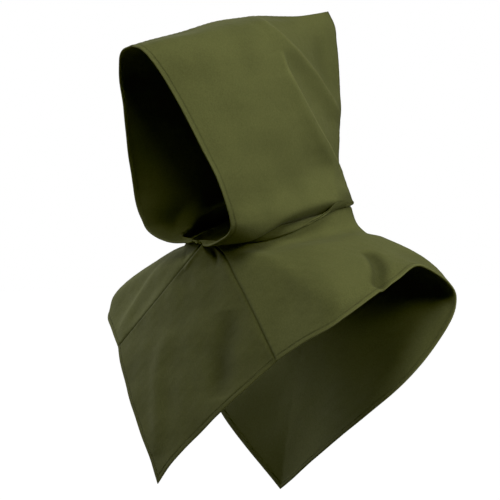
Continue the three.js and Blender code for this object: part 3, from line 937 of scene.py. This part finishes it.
def wool(name, light, dark):
    """Dull woven wool: light and dark are the two tones of its yarn."""
    material, nodes, links, shader = new_material(name)
    shader.inputs["Specular IOR Level"].default_value = 0.08
    shader.inputs["Sheen Weight"].default_value = 0.07
    shader.inputs["Sheen Roughness"].default_value = 0.45
    shader.inputs["Sheen Tint"].default_value = (0.72, 0.75, 0.5, 1)

    def add(kind, **settings):
        node = nodes.new(kind)
        for key, value in settings.items():
            setattr(node, key, value)
        return node

    def math_node(operation, first, second):
        node = add("ShaderNodeMath", operation=operation)
        for slot, item in zip(node.inputs, (first, second)):
            if isinstance(item, (int, float)):
                slot.default_value = item
            else:
                links.new(item, slot)
        return node.outputs[0]

    def noise(scale, detail):
        node = add("ShaderNodeTexNoise")
        node.inputs["Scale"].default_value = scale
        node.inputs["Detail"].default_value = detail
        links.new(place, node.inputs["Vector"])
        return node.outputs["Fac"]

    def total(shares):
        result = 0.0
        for layer, share in shares.items():
            result = math_node("ADD", math_node("MULTIPLY", layers[layer], share), result)
        return result

    def shaded(source, mark, tint, amount):
        reading = add("ShaderNodeAttribute", attribute_name=mark)
        strength = math_node("MULTIPLY", reading.outputs["Fac"], amount)
        node = add("ShaderNodeMix", data_type="RGBA", blend_type="MULTIPLY", clamp_factor=True)
        node.inputs["B"].default_value = (*tint, 1)
        links.new(source, node.inputs["A"])
        links.new(strength, node.inputs["Factor"])
        return node.outputs["Result"]

    def bump(height, strength, distance):
        node = add("ShaderNodeBump")
        node.inputs["Strength"].default_value = strength
        node.inputs["Distance"].default_value = distance
        links.new(height, node.inputs["Height"])
        return node

    place = add("ShaderNodeTexCoord").outputs["Object"]
    layers = {layer: noise(**settings) for layer, settings in WOOL_NOISES.items()}
    split = add("ShaderNodeSeparateXYZ")
    links.new(add("ShaderNodeUVMap", uv_map="cloth").outputs["UV"], split.inputs[0])
    wobble = math_node("MULTIPLY", layers["wobble"], THREAD_WOBBLE)
    threads = []
    for axis in "XY":
        turns = math_node("MULTIPLY", split.outputs[axis], math.pi / THREAD_PITCH)
        threads.append(math_node("SINE", math_node("ADD", turns, wobble), 0))
    weave = math_node("MULTIPLY", *threads)
    layers["weave"] = math_node("ADD", math_node("MULTIPLY", weave, 0.5), 0.5)

    ramp = add("ShaderNodeMapRange")
    ramp.inputs["From Min"].default_value, ramp.inputs["From Max"].default_value = TONE_RANGE
    links.new(total(TONE_SHARES), ramp.inputs["Value"])
    colour = add("ShaderNodeMix", data_type="RGBA")
    colour.inputs["A"].default_value = (*dark, 1)
    colour.inputs["B"].default_value = (*light, 1)
    links.new(ramp.outputs[0], colour.inputs["Factor"])
    # Painted shade darkens the folds, seams and stitched lines; wear lightens the hems and painted highlight
    # the fold ridges
    finish = shaded(colour.outputs["Result"], "painted_shade", PAINTED_SHADE_TINT, PAINTED_SHADE_STRENGTH)
    finish = shaded(finish, "worn", HIGHLIGHT_AND_WEAR_TINT, HIGHLIGHT_AND_WEAR_STRENGTH)
    links.new(finish, shader.inputs["Base Color"])

    rough = add("ShaderNodeMapRange")
    rough.inputs["To Min"].default_value, rough.inputs["To Max"].default_value = ROUGHNESS_RANGE
    links.new(layers["patches"], rough.inputs["Value"])
    links.new(rough.outputs[0], shader.inputs["Roughness"])

    soft = bump(layers["dents"], strength=0.3, distance=0.0006)
    fine = bump(total(RELIEF_SHARES), strength=0.5, distance=0.0004)
    links.new(soft.outputs["Normal"], fine.inputs["Normal"])
    links.new(fine.outputs["Normal"], shader.inputs["Normal"])
    return material


def twisted_thread(name, light, dark):
    """Dull sewing thread, twisted from a light and a dark strand."""
    material, nodes, links, shader = new_material(name)
    shader.inputs["Roughness"].default_value = 0.75
    shader.inputs["Specular IOR Level"].default_value = 0.25
    place = nodes.new("ShaderNodeTexCoord")
    fibres = nodes.new("ShaderNodeTexNoise")
    fibres.inputs["Scale"].default_value = 900
    fibres.inputs["Detail"].default_value = 2
    colour = nodes.new("ShaderNodeMix")
    colour.data_type = "RGBA"
    colour.inputs["A"].default_value = (*dark, 1)
    colour.inputs["B"].default_value = (*light, 1)
    bump = nodes.new("ShaderNodeBump")
    bump.inputs["Strength"].default_value = 0.6
    bump.inputs["Distance"].default_value = 0.0002
    links.new(place.outputs["Object"], fibres.inputs["Vector"])
    links.new(fibres.outputs["Fac"], colour.inputs["Factor"])
    links.new(fibres.outputs["Fac"], bump.inputs["Height"])
    links.new(colour.outputs["Result"], shader.inputs["Base Color"])
    links.new(bump.outputs["Normal"], shader.inputs["Normal"])
    return material


def make_camera():
    """The camera, level with the hood."""
    data = bpy.data.cameras.new("camera")
    data.sensor_width = SENSOR
    data.lens = SENSOR * VIEW_DISTANCE / VIEW_WIDTH
    data.clip_end = 100
    camera = add_object("camera", data)
    back = Vector((math.sin(VIEW_AZIMUTH), -math.cos(VIEW_AZIMUTH), 0))
    camera.location = VIEW_TARGET + back * VIEW_DISTANCE
    camera.rotation_euler = back.to_track_quat("Z", "Y").to_euler()
    scene.camera = camera


# Studio lights: where each stands round the hood, in degrees, and its power in watts
LIGHTS = [
    dict(name="front", azimuth=36, height=52, power=31),
    dict(name="side", azimuth=94, height=24, power=23),
    dict(name="rim", azimuth=132, height=22, power=18),
    dict(name="far", azimuth=283, height=13, power=38),
    dict(name="back", azimuth=235, height=35, power=10),
]
LIGHT_DISTANCE = 2.6
LIGHT_SIZE = 1.2

# The world's strength as light and as the plain background, and the floor under a standing wearer
WORLD_LIGHT = 0.025
WORLD_SEEN = 1.0
FLOOR_DROP = 1.7
FLOOR_REACH = 40
FLOOR_GREY = 0.3

# Points of a tone curve that deepens only the darkest shadows
SHADOW_CURVE = ((0.005, 0.001), (0.014, 0.0132))


def area_light(name, azimuth, height, power):
    """A soft round lamp that faces the hood."""
    turn, lift = math.radians(azimuth), math.radians(height)
    way = Vector((math.sin(turn) * math.cos(lift), -math.cos(turn) * math.cos(lift), math.sin(lift)))
    data = bpy.data.lights.new(name, "AREA")
    data.shape = "DISK"
    data.size = LIGHT_SIZE
    data.energy = power
    light = add_object(name, data)
    light.location = VIEW_TARGET + way * LIGHT_DISTANCE
    light.rotation_euler = way.to_track_quat("Z", "Y").to_euler()


def make_world():
    """White behind everything, and a little even light."""
    world = bpy.data.worlds.new("studio")
    scene.world = world
    world.use_nodes = True
    nodes, links = world.node_tree.nodes, world.node_tree.links
    background = nodes["Background"]
    background.inputs["Color"].default_value = (1, 1, 1, 1)
    path = nodes.new("ShaderNodeLightPath")
    strength = nodes.new("ShaderNodeMapRange")
    strength.inputs["To Min"].default_value = WORLD_LIGHT
    strength.inputs["To Max"].default_value = WORLD_SEEN
    links.new(path.outputs["Is Camera Ray"], strength.inputs["Value"])
    links.new(strength.outputs[0], background.inputs["Strength"])


def make_floor():
    """A pale floor that looks white and gives back little light."""
    corners = [(x * FLOOR_REACH, y * FLOOR_REACH, 0) for x, y in ((-1, -1), (1, -1), (1, 1), (-1, 1))]
    mesh = bpy.data.meshes.new("floor")
    mesh.from_pydata(corners, [], [(0, 1, 2, 3)])
    floor = add_object("floor", mesh)
    floor.location.z = -FLOOR_DROP
    material, nodes, links, shader = new_material("pale_floor")
    shader.inputs["Base Color"].default_value = (FLOOR_GREY, FLOOR_GREY, FLOOR_GREY, 1)
    shader.inputs["Roughness"].default_value = 0.9
    shader.inputs["Emission Color"].default_value = (1, 1, 1, 1)
    path = nodes.new("ShaderNodeLightPath")
    links.new(path.outputs["Is Camera Ray"], shader.inputs["Emission Strength"])
    mesh.materials.append(material)


def set_tones():
    """The picture's tones, with the curve on all colours together."""
    scene.view_settings.view_transform = "Standard"
    scene.view_settings.use_curve_mapping = True
    mapping = scene.view_settings.curve_mapping
    combined = mapping.curves[3]
    for spot in SHADOW_CURVE:
        combined.points.new(*spot)
    for spot in combined.points:
        spot.handle_type = "VECTOR"
    mapping.update()


def finish_sheet(pieces, node, material, **cut):
    """Puts one sheet in the place of its node. cut says how its cloth was cut and how it is held; it is not
    used.
    """
    sheet, sewing = pieces
    sheet.data.materials.append(material)
    sewing.data.materials.append(thread)
    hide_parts(node)


make_camera()
cloth = wool("olive_wool", light=(0.141, 0.149, 0.048), dark=(0.09, 0.0955, 0.0275))
# The gusset's wool is the same olive wool in darker tones, as painted shade on the gusset
painted_shade_cloth = wool("olive_wool_painted_shade", light=(0.115, 0.12, 0.037), dark=(0.073, 0.077, 0.021))
thread = twisted_thread("olive_thread", light=(0.13, 0.135, 0.045), dark=(0.06, 0.064, 0.018))
hood_cut = dict(flat=(0.37, 0.4), area=0.137, held="gathered", rests_on=["head_seat"])
finish_sheet(hood_half("hood_left", mirror=False), "hood_left", cloth, **hood_cut)
finish_sheet(hood_half("hood_right", mirror=True), "hood_right", cloth, **hood_cut)
cape_cut = dict(flat=(0.86, 0.62), area=0.305, held="draped", rests_on=["hood_left", "hood_right"])
finish_sheet(cape(), "cape", cloth, **cape_cut)
gusset_cut = dict(flat=(0.26, 0.26), held="hung", rests_on=["cape"])
finish_sheet(gusset(), "front_gusset", painted_shade_cloth, **gusset_cut)
make_world()
make_floor()
for light in LIGHTS:
    area_light(**light)
set_tones()
